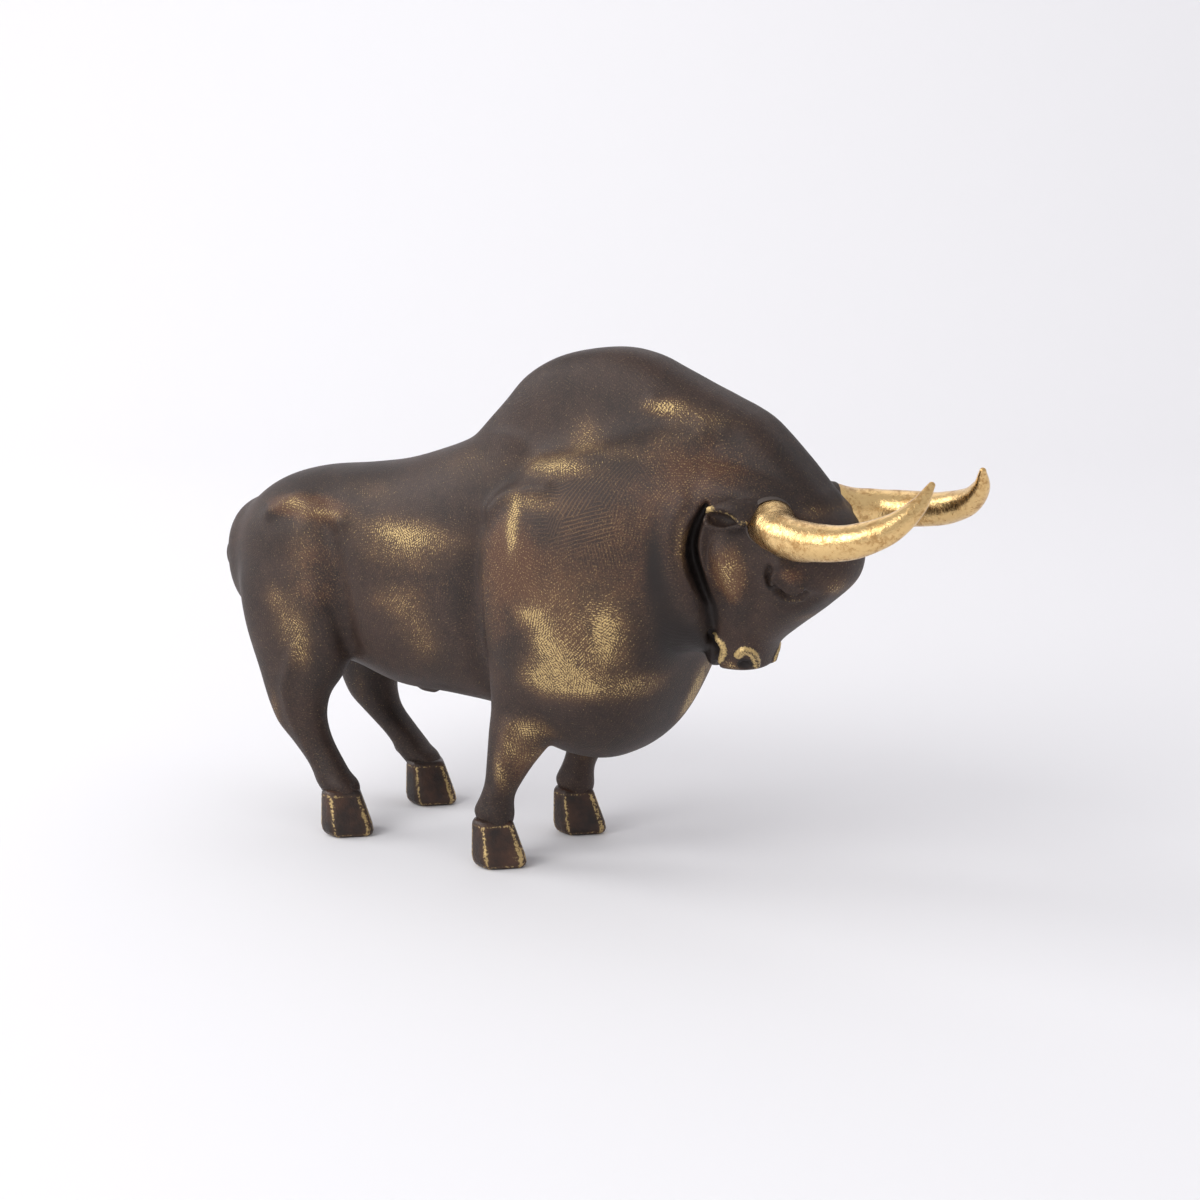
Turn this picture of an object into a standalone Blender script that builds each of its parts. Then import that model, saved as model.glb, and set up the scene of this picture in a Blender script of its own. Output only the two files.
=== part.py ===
"""Bull sculpture: a standing bull with a high hump, cast in one piece, and two gilded horns set in sockets.

The bull faces +X, +Y is its left side and +Z is up. The origin is on the floor, under the middle of its box.
The figure's pose, proportions and carving are shares of the hump's height, counted in PART, a five-hundredth of it.
Horn roots, sockets and walls have sizes of their own.
"""

import math

import bpy
import numpy as np

# Driving sizes, in metres.
HUMP_HEIGHT = 0.236
HORN_ROOT_RADIUS = 0.0093
SOCKET_GAP = 0.0003
SOCKET_DEPTH = 0.006
SOCKET_WALL = 0.0022

# The sculptor's unit, for the figure's pose, proportions and carving.
PART = HUMP_HEIGHT / 500
CLAY_GRID = 4.4 * PART

# Points around a slice, and faces left in the finished body.
AROUND = 40
HORN_AROUND = 14
BODY_FACES = 6600

# Upright slices of the barrel, square to X: x, bottom, top, middle, half width.
BARREL = (
    (-250, 198, 326, 268, 60),
    (-218, 172, 348, 264, 77),
    (-178, 165, 361, 262, 84),
    (-117, 163, 369, 262, 81),
    (-60, 148, 379, 262, 81),
    (0, 147, 398, 265, 84),
    (50, 145, 418, 268, 87),
    (100, 141, 430, 270, 84),
    (150, 150, 420, 280, 66),
)

# Upright slices of the forequarters: x, bottom, top, middle, half width, top of the shoulder, half width of the crest.
FOREQUARTERS = (
    (20, 335, 404, 368, 30, 390, 22),
    (42, 300, 426, 345, 54, 385, 32),
    (66, 230, 450, 315, 76, 384, 36),
    (90, 156, 474, 292, 92, 388, 40),
    (130, 116, 493, 282, 104, 404, 44),
    (187, 109, 502, 285, 108, 422, 46),
    (225, 129, 497, 292, 103, 430, 46),
    (250, 168, 487, 308, 96, 431, 46),
    (270, 222, 479, 326, 90, 429, 46),
    (287, 265, 472, 346, 85, 426, 45),
    (301, 296, 467, 360, 79, 422, 44),
    (311, 324, 463, 371, 74, 418, 43),
    (324, 342, 458, 376, 71, 413, 42),
    (348, 350, 445, 379, 67, 406, 39),
    (380, 350, 416, 377, 58, 394, 34),
    (408, 348, 388, 366, 46, 374, 28),
)

# Level slices of a hind leg, going down: z, back, front, middle of the side, half width.
HIND_LEG = (
    (300, -228, -112, 48, 30),
    (250, -239, -96, 56, 34),
    (210, -230, -92, 62, 32),
    (183, -219, -97, 65, 29),
    (160, -208, -107, 67, 26),
    (140, -199, -121, 69, 22),
    (120, -190, -127, 69, 20),
    (105, -181, -125, 69, 18.5),
    (90, -166, -116, 69, 17),
    (70, -147, -101, 69, 16.5),
    (52, -134, -88, 69, 17.5),
    (36, -130, -80, 69, 19),
    (24, -124, -74, 69, 18),
)

# How far the left hock stands behind the right one.
LEFT_HOCK_STEP = 20

FORE_LEG = (
    (230, 75, 175, 62, 30),
    (190, 84, 176, 64, 30),
    (160, 88, 170, 66, 27),
    (135, 86, 156, 68, 24),
    (104, 82, 133, 69, 20),
    (81, 74, 120, 69, 18),
    (62, 66, 112, 69, 17.5),
    (50, 62, 107, 69, 18),
    (36, 66, 110, 69, 17.5),
    (24, 70, 114, 69, 17),
)

# Level slices of the head, going down: z, back, front, half width.
HEAD = (
    (376, 300, 414, 52),
    (355, 272, 430, 61),
    (330, 258, 434, 62),
    (305, 262, 426, 58),
    (280, 280, 405, 50),
    (257, 298, 382, 40),
    (240, 296, 365, 33),
    (224, 295, 351, 29),
)

# Middle line of a horn from its socket's mouth on: x, side, z, share of the root's radius.
HORN = (
    (386, 57, 361, 1.0),
    (399, 70, 358, 0.99),
    (421, 83, 355, 0.93),
    (450, 89, 355, 0.85),
    (483, 86, 359, 0.77),
    (512, 76, 371, 0.63),
    (531, 62, 390, 0.41),
    (538, 50, 408, 0.16),
)

# How far the middle of the left horn curves above the right one's.
LEFT_HORN_LIFT = 6

# Middle line of the tail and its radius.
TAIL = (
    (-262, 0, 316, 11),
    (-286, 0, 294, 12),
    (-299, 0, 266, 13),
    (-292, 0, 240, 13),
    (-275, 0, 214, 12),
    (-254, 0, 192, 9),
)

# Middle line of an ear, with its half height and half thickness: x, side, z, height, thickness.
EAR = (
    (380, 54, 365, 9, 8),
    (365, 70, 367, 14, 9),
    (348, 80, 368, 14, 8),
    (331, 84, 372, 7, 5),
)

# A hoof's outline on the floor, ahead of and beside its middle, and its levels: height, share, lean back.
SOLE = ((30, -8), (30, 8), (6, 31), (-16, 25), (-23, 11), (-23, -11), (-16, -25), (6, -31))
HOOF_LEVELS = ((0, 0.94, 0), (4, 1.0, 0.5), (38, 0.78, 8), (42, 0.70, 9), (50, 0.5, 10))
HOOF_STEP = 95
HOOF_SPREAD = 69

# Strokes of the modelling tool on both sides: path of x, side, z; width; height, negative for a groove.
STROKES = (
    (((90, 92, 160), (88, 90, 230), (89, 90, 296), (94, 90, 330)), 6, -4),
    (((-118, 84, 300), (-102, 84, 262), (-88, 82, 222), (-86, 76, 190)), 14, -6),
    (((-215, 74, 318), (-170, 84, 318), (-130, 86, 300)), 15, 5),
    (((102, 84, 362), (146, 78, 392), (202, 70, 410), (249, 66, 424), (300, 60, 436)), 12, 4),
    (((330, 68, 366), (314, 68, 357), (304, 67, 339), (307, 66, 318), (314, 64, 296), (318, 56, 270), (314, 44, 248)), 6, -9),
    (((312, 76, 374), (297, 78, 358), (289, 80, 338), (292, 79, 316), (298, 76, 292)), 10, 4),
    (((322, 62, 330), (336, 62, 306), (352, 58, 292)), 16, 5),
    (((378, 52, 312), (388, 52, 304), (402, 48, 304)), 4, -5),
    (((384, 54, 321), (398, 52, 315), (410, 46, 311)), 8, 4),
    (((344, 30, 229), (339, 31, 226)), 5, -7),
    (((336, 26, 234), (346, 28, 237), (353, 26, 232)), 5, 4),
    (((306, 30, 243), (318, 33, 238), (321, 33, 230), (315, 30, 220)), 4, -4),
    (((364, 82, 361), (346, 90, 364)), 7, -8),
    (((-140, 62, 48), (-140, 76, 48)), 8, 4),
    (((60, 62, 50), (60, 76, 50)), 8, 4),
)


def smooth_rows(rows, per_span):
    """Rows along a smooth curve through the given rows, with per_span of them to each gap."""
    rows = np.asarray(rows, float)
    ends = np.vstack([2 * rows[0] - rows[1], rows, 2 * rows[-1] - rows[-2]])
    s = (np.arange(per_span) / per_span)[:, None]
    spans = []
    for a, b, c, d in zip(ends, ends[1:], ends[2:], ends[3:]):
        leave = (c - a) / 2
        arrive = (d - b) / 2
        stay = 2 * s**3 - 3 * s**2 + 1
        spans.append(stay * b + (s**3 - 2 * s**2 + s) * leave + (1 - stay) * c + (s**3 - s**2) * arrive)
    return np.vstack([*spans, rows[-1:]])


def ramp(value, low, high):
    """0 below low, 1 above high, and smooth between."""
    share = np.clip((value - low) / (high - low), 0, 1)
    return share * share * (3 - 2 * share)


def reach(angle, side, top, bottom, square):
    """Distance from a slice's middle to its edge: a superellipse with its own height above and below."""
    c, s = np.cos(angle), np.sin(angle)
    height = np.where(s > 0, top, bottom)
    return ((np.abs(c) / side) ** square + (np.abs(s) / height) ** square) ** (-1 / square)


def tipped(rings, depth):
    """Rings with a rounded tip after the last one: copies that shrink to its middle as they move on."""
    ring = rings[-1]
    middle = ring.mean(0)
    way = middle - rings[-2].mean(0)
    way /= np.linalg.norm(way)
    dome = []
    for turn in np.radians((25, 48, 68, 84)):
        dome.append(middle + (ring - middle) * math.cos(turn) + way * depth * math.sin(turn))
    return np.vstack([rings, dome])


def domed(rings, depth_first, depth_last):
    """Rings with a rounded tip at both ends."""
    return tipped(tipped(rings[::-1], depth_first)[::-1], depth_last)


def barrel_rings():
    """Rings of the barrel, square to X."""
    rows = smooth_rows(BARREL, 4)
    angle = np.linspace(0, 2 * math.pi, AROUND, endpoint=False)[None, :]
    x, bottom, top, middle, side = (rows[:, i : i + 1] for i in range(5))
    r = reach(angle, side, top - middle, middle - bottom, 2.3)
    return np.stack([x + 0 * r, r * np.cos(angle), middle + r * np.sin(angle)], -1)


def forequarters_rings():
    """Rings of the forequarters, square to X: each is the rounded sum of a shoulder and a narrower crest above."""
    rows = smooth_rows(FOREQUARTERS, 4)
    angle = np.linspace(0, 2 * math.pi, AROUND, endpoint=False)[None, :]
    x, bottom, top, middle, side, shoulder, crest = (rows[:, i : i + 1] for i in range(7))
    body = reach(angle, side, shoulder - middle, middle - bottom, 2.6)
    blade = reach(angle, crest, top - middle, crest, 3.2)
    r = (body**7 + blade**7) ** (1 / 7)
    return np.stack([x + 0 * r, r * np.cos(angle), middle + r * np.sin(angle)], -1)


def level_rings(rows, side):
    """Rings square to Z, going down. side is -1 for the right and +1 for the left."""
    rows = smooth_rows(rows, 4)
    angle = np.linspace(0, 2 * math.pi, AROUND, endpoint=False)[None, :]
    z, back, front, off, half = (rows[:, i : i + 1] for i in range(5))
    r = reach(angle, half, (front - back) / 2, (front - back) / 2, 2.3)
    return np.stack([(front + back) / 2 + r * np.sin(angle), side * off + r * np.cos(angle), z + 0 * r], -1)


def head_rings():
    """Rings of the head, square to Z, going down."""
    return level_rings([(z, back, front, 0, half) for z, back, front, half in HEAD], 1)


def hind_leg_rings(side):
    """Rings of a hind leg; the left one's hock stands further back."""
    rings = level_rings(HIND_LEG, side)
    if side > 0:
        rings[..., 0] -= LEFT_HOCK_STEP * ramp(rings[..., 2], 25, 105)
    return rings


def round_rings(rows, side, around):
    """Round rings square to a middle line of x, side, z and radius."""
    rows = smooth_rows(rows, 4)
    line = rows[:, :3] * (1, side, 1)
    way = np.gradient(line, axis=0)
    way /= np.linalg.norm(way, axis=1)[:, None]
    across = np.cross(way, (0, 1, 0.3))
    across /= np.linalg.norm(across, axis=1)[:, None]
    third = np.cross(way, across)
    angle = np.linspace(0, 2 * math.pi, around, endpoint=False)[None, :, None]
    spoke = across[:, None] * np.cos(angle) + third[:, None] * np.sin(angle)
    return line[:, None] + spoke * rows[:, 3][:, None, None]


def ear_rings(side):
    """Flat rings along the ear's middle line."""
    rows = smooth_rows(EAR, 5)
    line = rows[:, :3] * (1, side, 1)
    way = np.gradient(line, axis=0)
    way /= np.linalg.norm(way, axis=1)[:, None]
    flat = np.cross(way, (0.35, -0.1 * side, 1))
    flat /= np.linalg.norm(flat, axis=1)[:, None]
    tall = np.cross(flat, way)
    angle = np.linspace(0, 2 * math.pi, AROUND, endpoint=False)[None, :, None]
    spoke = tall[:, None] * np.cos(angle) * rows[:, 3][:, None, None]
    return line[:, None] + spoke + flat[:, None] * np.sin(angle) * rows[:, 4][:, None, None]


def horn_way():
    """Direction in which a horn leaves its socket, for the left side."""
    way = np.subtract(HORN[1][:3], HORN[0][:3])
    return way / np.linalg.norm(way)


def horn_rings(side):
    """Rings of a horn, from its flat root in the socket to its rounded tip."""
    mouth = np.array(HORN[0][:3])
    root = mouth - horn_way() * (SOCKET_DEPTH - SOCKET_GAP) / PART
    rows = np.array([(*root, 1.0), *HORN])
    rows[:, 3] *= HORN_ROOT_RADIUS / PART
    if side > 0:
        rows[1:, 2] += LEFT_HORN_LIFT * np.sin(np.linspace(0, math.pi, len(HORN))) ** 2
    rings = round_rings(rows, side, HORN_AROUND)
    return tipped(rings, 3)


def grown(rings, gap):
    """The same rings, wider by gap all round, with the first one further back by gap."""
    middle = rings.mean(1, keepdims=True)
    spoke = rings - middle
    out = middle + spoke * (1 + gap / np.linalg.norm(spoke, axis=2, keepdims=True))
    way = middle[0] - middle[1]
    out[0] += gap * way / np.linalg.norm(way)
    return out


def collar_rings(side):
    """Rings of the raised rim round a horn's socket."""
    mouth = np.array(HORN[0][:3])
    radius = (HORN_ROOT_RADIUS + SOCKET_GAP + SOCKET_WALL) / PART
    rows = [(*(mouth - horn_way() * back), radius * share) for back, share in ((30, 0.9), (15, 1.0), (2, 0.98))]
    return domed(round_rings(rows, side, AROUND), 2, 3)


def hoof_rings(x, y):
    """Rings of a hoof: a bevelled block whose eight flat sides lean in towards the top."""
    rings = []
    for z, share, lean in HOOF_LEVELS:
        rings.append([(x + ahead * share - lean, y + beside * share, z) for ahead, beside in SOLE])
    return np.array(rings)


def skin(rings):
    """Points and faces of a closed surface over the rings, facing out."""
    n, m = rings.shape[:2]
    points = rings.reshape(-1, 3)
    i, j = np.meshgrid(np.arange(n - 1), np.arange(m), indexing="ij")
    k = (j + 1) % m
    walls = np.stack([i * m + j, i * m + k, (i + 1) * m + k, (i + 1) * m + j], -1).reshape(-1, 4)
    ends = [list(range(m))[::-1], list(range((n - 1) * m, n * m))]
    a, b, c, d = (points[walls[:, corner]] for corner in range(4))
    volume = np.einsum("ij,ij->", a, np.cross(b, c)) + np.einsum("ij,ij->", a, np.cross(c, d))
    for end in ends:
        for b, c in zip(end[1:], end[2:]):
            volume += points[end[0]] @ np.cross(points[b], points[c])
    faces = walls.tolist() + ends
    return points, faces if volume > 0 else [face[::-1] for face in faces]


def make_object(name, shells):
    """One object from several closed shells, given in PART."""
    points = np.vstack([shell_points for shell_points, _ in shells]) * PART
    faces = []
    start = 0
    for shell_points, shell_faces in shells:
        faces += [[corner + start for corner in face] for face in shell_faces]
        start += len(shell_points)
    mesh = bpy.data.meshes.new(name)
    mesh.from_pydata(points.tolist(), [], faces)
    mesh.update()
    obj = bpy.data.objects.new(name, mesh)
    bpy.context.scene.collection.objects.link(obj)
    return obj


def masses():
    """The closed shells that are pressed together into the body."""
    rings = [
        domed(barrel_rings(), 34, 10),
        domed(forequarters_rings(), 6, 16),
        domed(head_rings(), 16, 14),
        domed(round_rings(TAIL, 1, AROUND), 8, 8),
    ]
    for side in (-1, 1):
        rings.append(domed(hind_leg_rings(side), 20, 1))
        rings.append(domed(level_rings(FORE_LEG, side), 20, 1))
        rings.append(collar_rings(side))
        rings.append(domed(ear_rings(side), 3, 3))
    return [skin(shell) for shell in rings]


def points_of(mesh):
    flat = np.empty(len(mesh.vertices) * 3, np.float32)
    mesh.vertices.foreach_get("co", flat)
    return flat.reshape(-1, 3).astype(float)


def normals_of(mesh):
    flat = np.empty(len(mesh.vertices) * 3, np.float32)
    mesh.vertex_normals.foreach_get("vector", flat)
    return flat.reshape(-1, 3).astype(float)


def edges_of(mesh):
    flat = np.empty(len(mesh.edges) * 2, np.int32)
    mesh.edges.foreach_get("vertices", flat)
    return flat.reshape(-1, 2)


def move(mesh, points):
    """Moves the mesh's points to the given places."""
    mesh.vertices.foreach_set("co", points.astype(np.float32).ravel())
    mesh.update()


def relax(points, edges, weight, rounds):
    """Each round moves every point towards the middle of its neighbours, by its weight."""
    count = np.bincount(edges.ravel(), minlength=len(points))[:, None]
    for _ in range(rounds):
        total = np.zeros_like(points)
        for here, there in (edges.T, edges.T[::-1]):
            for axis in range(3):
                total[:, axis] += np.bincount(here, points[there, axis], len(points))
        points = points + weight[:, None] * (total / count - points)
    return points


def rounded(points, edges):
    """The pressed masses with their joins rounded: most on the hump and the rump, least on the face."""
    x, z = points[:, 0], points[:, 2]
    points = relax(points, edges, np.full(len(points), 0.25), 5)
    hump = ramp(z, 300, 360) * ramp(x, -60, 10) * (1 - ramp(x, 330, 380))
    rump = (1 - ramp(x, -200, -150)) * ramp(z, 120, 170) * (1 - 0.8 * ramp(-x, 285, 295))
    return relax(points, edges, 0.5 * np.maximum(hump, rump), 16)


def distance_to(points, path):
    """Distance from each point to a line through the path's points."""
    path = np.array(path, float)
    nearest = np.full(len(points), np.inf)
    for a, b in zip(path, path[1:]):
        way = b - a
        share = np.clip((points - a) @ way / (way @ way), 0, 1)
        nearest = np.minimum(nearest, np.linalg.norm(points - a - share[:, None] * way, axis=1))
    return nearest


def stroked(points, normals):
    """The points moved along their normals by the strokes, the same on both sides."""
    folded = points * (1, 0, 1) + np.abs(points) * (0, 1, 0)
    lift = np.zeros(len(points))
    for path, width, height in STROKES:
        lift += height * np.exp(-((distance_to(folded, path) / width) ** 2))
    return points + normals * lift[:, None]


def settle(obj):
    """Gives the object the mesh that its modifiers make, and removes them."""
    depsgraph = bpy.context.evaluated_depsgraph_get()
    mesh = bpy.data.meshes.new_from_object(obj.evaluated_get(depsgraph))
    obj.modifiers.clear()
    obj.data = mesh


def press(obj):
    """Turns the overlapping shells into one even skin."""
    remesh = obj.modifiers.new("press", "REMESH")
    remesh.mode = "VOXEL"
    remesh.voxel_size = CLAY_GRID
    settle(obj)


def thin(obj, faces):
    """Collapses edges until about this many triangles are left."""
    decimate = obj.modifiers.new("thin", "DECIMATE")
    decimate.ratio = faces / (2 * len(obj.data.polygons))
    settle(obj)


def combine(obj, other, operation):
    """Joins the other object to this one or cuts it away, and removes the other."""
    boolean = obj.modifiers.new("combine", "BOOLEAN")
    boolean.solver = "EXACT"
    boolean.operation = operation
    boolean.object = other
    settle(obj)
    bpy.data.objects.remove(other)


def paint(obj, name, colour, roughness, metallic):
    """Gives the object a material of its own."""
    material = bpy.data.materials.new(name)
    material.use_nodes = True
    shader = material.node_tree.nodes["Principled BSDF"]
    shader.inputs["Base Color"].default_value = (*colour, 1)
    shader.inputs["Roughness"].default_value = roughness
    shader.inputs["Metallic"].default_value = metallic
    obj.data.materials.clear()
    obj.data.materials.append(material)


def centre(objects):
    """Moves the objects so that the origin is on the floor, under the middle of their box."""
    points = np.vstack([points_of(obj.data) for obj in objects])
    low, high = points.min(0), points.max(0)
    origin = (low + high) / 2
    origin[2] = low[2]
    for obj in objects:
        move(obj.data, points_of(obj.data) - origin)


def main():
    for obj in list(bpy.data.objects):
        bpy.data.objects.remove(obj)
    body = make_object("body", masses())
    press(body)
    mesh = body.data
    move(mesh, rounded(points_of(mesh) / PART, edges_of(mesh)) * PART)
    move(mesh, stroked(points_of(mesh) / PART, normals_of(mesh)) * PART)
    thin(body, BODY_FACES)
    hooves = [skin(hoof_rings(x, y)) for x in (-HOOF_STEP, HOOF_STEP) for y in (-HOOF_SPREAD, HOOF_SPREAD)]
    combine(body, make_object("hooves", hooves), "UNION")
    horns = {"right_horn": horn_rings(-1), "left_horn": horn_rings(1)}
    sockets = [skin(grown(rings, SOCKET_GAP / PART)) for rings in horns.values()]
    combine(body, make_object("sockets", sockets), "DIFFERENCE")
    paint(body, "bronze_patina", (0.062, 0.046, 0.038), 0.5, 0.25)
    objects = [body]
    for name, rings in horns.items():
        horn = make_object(name, [skin(rings)])
        paint(horn, name + "_gold_leaf", (0.83, 0.58, 0.27), 0.3, 1.0)
        objects.append(horn)
    centre(objects)


main()
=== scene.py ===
"""A cast bull in dark bronze patina, rubbed with gold, with two gilded horns.

The bull faces +X, +Y is its left side and +Z is up. Its shape is counted in units: five hundred of them
make the height of the hump, and they start on the floor in the middle of the four hooves.
"""

import math

import bpy
import numpy as np
from mathutils import Matrix, Vector


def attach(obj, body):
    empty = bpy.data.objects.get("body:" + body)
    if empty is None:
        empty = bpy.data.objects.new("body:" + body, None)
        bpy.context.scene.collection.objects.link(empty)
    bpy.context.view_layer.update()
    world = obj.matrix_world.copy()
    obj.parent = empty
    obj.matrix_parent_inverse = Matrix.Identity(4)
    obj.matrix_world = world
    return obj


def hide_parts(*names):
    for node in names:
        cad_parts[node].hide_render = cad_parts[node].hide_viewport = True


bl_info = {
    "name": "Rubbed Bronze Bull",
    "version": (1, 0, 0),
    "blender": (4, 5, 0),
    "location": "3D View > Sidebar > Bull",
    "description": "Models a cast bull with gilded horns and lights it in a studio",
    "category": "Add Mesh",
}

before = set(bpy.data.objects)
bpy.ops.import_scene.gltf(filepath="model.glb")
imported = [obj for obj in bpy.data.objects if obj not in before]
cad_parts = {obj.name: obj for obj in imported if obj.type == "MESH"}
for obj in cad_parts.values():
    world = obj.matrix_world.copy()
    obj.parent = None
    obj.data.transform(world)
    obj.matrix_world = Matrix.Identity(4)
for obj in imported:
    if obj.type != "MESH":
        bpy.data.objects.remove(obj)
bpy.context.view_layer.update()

# Where the middle of the four hooves stands in the frame, in metres.
STANCE_X = -0.05446

# Height of the hump in units.
HUMP = 500

# The figure's tables, in units

# Upright slices of the barrel: x, bottom, top, middle, half width.
BARREL = (
    (-250, 198, 326, 268, 60),
    (-218, 172, 348, 264, 77),
    (-178, 165, 361, 262, 84),
    (-117, 163, 369, 262, 81),
    (-60, 148, 379, 262, 81),
    (0, 147, 398, 265, 84),
    (50, 145, 418, 268, 87),
    (100, 141, 430, 270, 84),
    (150, 150, 420, 280, 66),
)

# Upright slices of the forequarters: x, bottom, top, middle, half width, then the top of the shoulder
# and the half width of the crest.
FOREQUARTERS = (
    (20, 335, 404, 368, 30, 390, 22),
    (42, 300, 426, 345, 54, 385, 32),
    (66, 230, 450, 315, 76, 384, 36),
    (90, 156, 474, 292, 92, 388, 40),
    (130, 116, 493, 282, 104, 404, 44),
    (187, 109, 502, 285, 108, 422, 46),
    (225, 129, 497, 292, 103, 430, 46),
    (250, 168, 487, 308, 96, 431, 46),
    (270, 219, 479, 324, 90, 429, 46),
    (287, 225, 472, 332, 85, 426, 45),
    (301, 230, 467, 340, 80, 422, 44),
    (311, 243, 463, 348, 76, 418, 43),
    (319, 292, 460, 363, 73, 415, 42),
    (326, 330, 457, 374, 71, 412, 42),
    (348, 346, 445, 379, 67, 406, 39),
    (380, 350, 416, 377, 58, 394, 34),
    (408, 348, 388, 366, 46, 374, 28),
)

# Level slices of a hind leg, going down: z, back, front, middle of the side, half width.
HIND_LEG = (
    (300, -228, -112, 48, 30),
    (250, -239, -96, 56, 34),
    (210, -230, -92, 62, 32),
    (183, -219, -97, 65, 29),
    (160, -208, -107, 67, 26),
    (140, -199, -121, 69, 22),
    (120, -190, -127, 69, 20),
    (105, -181, -125, 69, 18.5),
    (90, -165, -118, 69, 16),
    (72, -147, -105, 69, 14.5),
    (60, -138, -96, 69, 15),
    (53, -134, -88, 69, 17.5),
    (47, -130, -85, 69, 17),
    (42, -126, -85, 69, 15.5),
    (34, -121, -89, 69, 13),
)

# How far the left hock stands behind the right one.
LEFT_HOCK_STEP = 20

# The same slices of a fore leg.
FORE_LEG = (
    (230, 75, 175, 62, 30),
    (190, 84, 176, 64, 30),
    (160, 88, 170, 66, 27),
    (135, 86, 156, 68, 24),
    (104, 83, 131, 69, 19),
    (84, 80, 117, 69, 15.5),
    (70, 75, 109, 69, 14.5),
    (60, 70, 107, 69, 16),
    (53, 67, 107, 69, 18),
    (47, 69, 107, 69, 17),
    (42, 72, 106, 69, 15.5),
    (34, 74, 101, 69, 13),
)

# Level slices of the head, going down: z, back, front, half width.
HEAD = (
    (376, 300, 414, 52),
    (355, 272, 434, 61),
    (330, 258, 442, 62),
    (305, 262, 436, 58),
    (280, 280, 410, 50),
    (257, 297, 380, 40),
    (241, 293, 361, 33),
    (228, 290, 353, 31),
    (218, 291, 350, 28),
)

# Middle line of the tail: x, side, z, radius.
TAIL = (
    (-256, 0, 306, 7),
    (-276, 0, 284, 9),
    (-298, 0, 264, 12.5),
    (-294, 0, 246, 13),
    (-272, 0, 223, 10),
    (-252, 0, 204, 7),
)

# Middle line of an ear: x, side, z, half height, half thickness.
EAR = (
    (384, 52, 366, 8, 8),
    (372, 65, 370, 12, 10),
    (360, 74, 371, 12.5, 9.5),
    (349, 80, 368, 12.5, 8),
    (341, 84, 367, 10.5, 5.5),
    (336, 86, 368.5, 7, 3.5),
)

# Middle line of a horn from its socket's mouth on: x, side, z, share of the root's radius.
HORN = (
    (386, 57, 361, 1.0),
    (399, 70, 358, 0.99),
    (421, 83, 355, 0.93),
    (450, 89, 355, 0.85),
    (483, 86, 359, 0.77),
    (512, 76, 371, 0.63),
    (531, 62, 390, 0.41),
    (538, 50, 408, 0.16),
)

# How far the left horn's middle is lifted, and how deep a root stands in its socket.
LEFT_HORN_LIFT = 6
ROOT_DEPTH = 12

# The middle of the left socket's mouth, and the direction in which its horn leaves.
MOUTH = np.array(HORN[0][:3])
HORN_WAY = (np.array(HORN[1][:3]) - MOUTH) / math.dist(HORN[1][:3], HORN[0][:3])

# Share by which a horn's root is wider, by the distance past its socket's mouth.
ROOT_FLARE = ((-12, 0.0), (-5, 0.07), (0, 0.09), (5, 0.08), (11, 0.04), (18, 0.0))

# Profile of the rim round a horn's socket: distance out from the mouth, and from the horn's middle line.
RIM = (
    (-20, 21.3),
    (-10, 22.6),
    (-5, 23.3),
    (-2.5, 23.2),
    (-1.2, 22.7),
    (-1.0, 22.2),
    (-2, 21.7),
    (-8, 21.3),
)

# The lip's distance from that line, the places round it, and the radius of the horn that the rim fits.
LIP = 23.2
RIM_AROUND = 96
RIM_HORN = 19.7

# The head's swelling under a rim: distance back from the socket's mouth, and radius.
COLLAR = ((34, 18), (16, 20.6), (6, 20.6))

# A hoof's outline on the floor, ahead of and beside its middle; its levels: height, share, lean back.
SOLE = ((31, -3.5), (31, 3.5), (4, 31), (-18, 24), (-24, 10), (-24, -10), (-18, -24), (4, -31))
HOOF_LEVELS = (
    (0, 0.74, 0.2),
    (1.2, 0.83, 0.3),
    (3, 0.905, 0.5),
    (6, 0.96, 1.0),
    (12, 0.965, 2.4),
    (40, 0.765, 8.6),
    (43, 0.735, 9.1),
    (45, 0.68, 9.4),
    (46, 0.56, 9.6),
)
HOOF_HEIGHT = HOOF_LEVELS[-1][0]

# How far the hooves stand ahead of, behind and beside the middle.
HOOF_STEP = 95
HOOF_SPREAD = 69

# Level edges of a hoof that have lost their patina: height, width.
WORN_LEVELS = ((41, 1.5), (3, 1.6))

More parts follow.
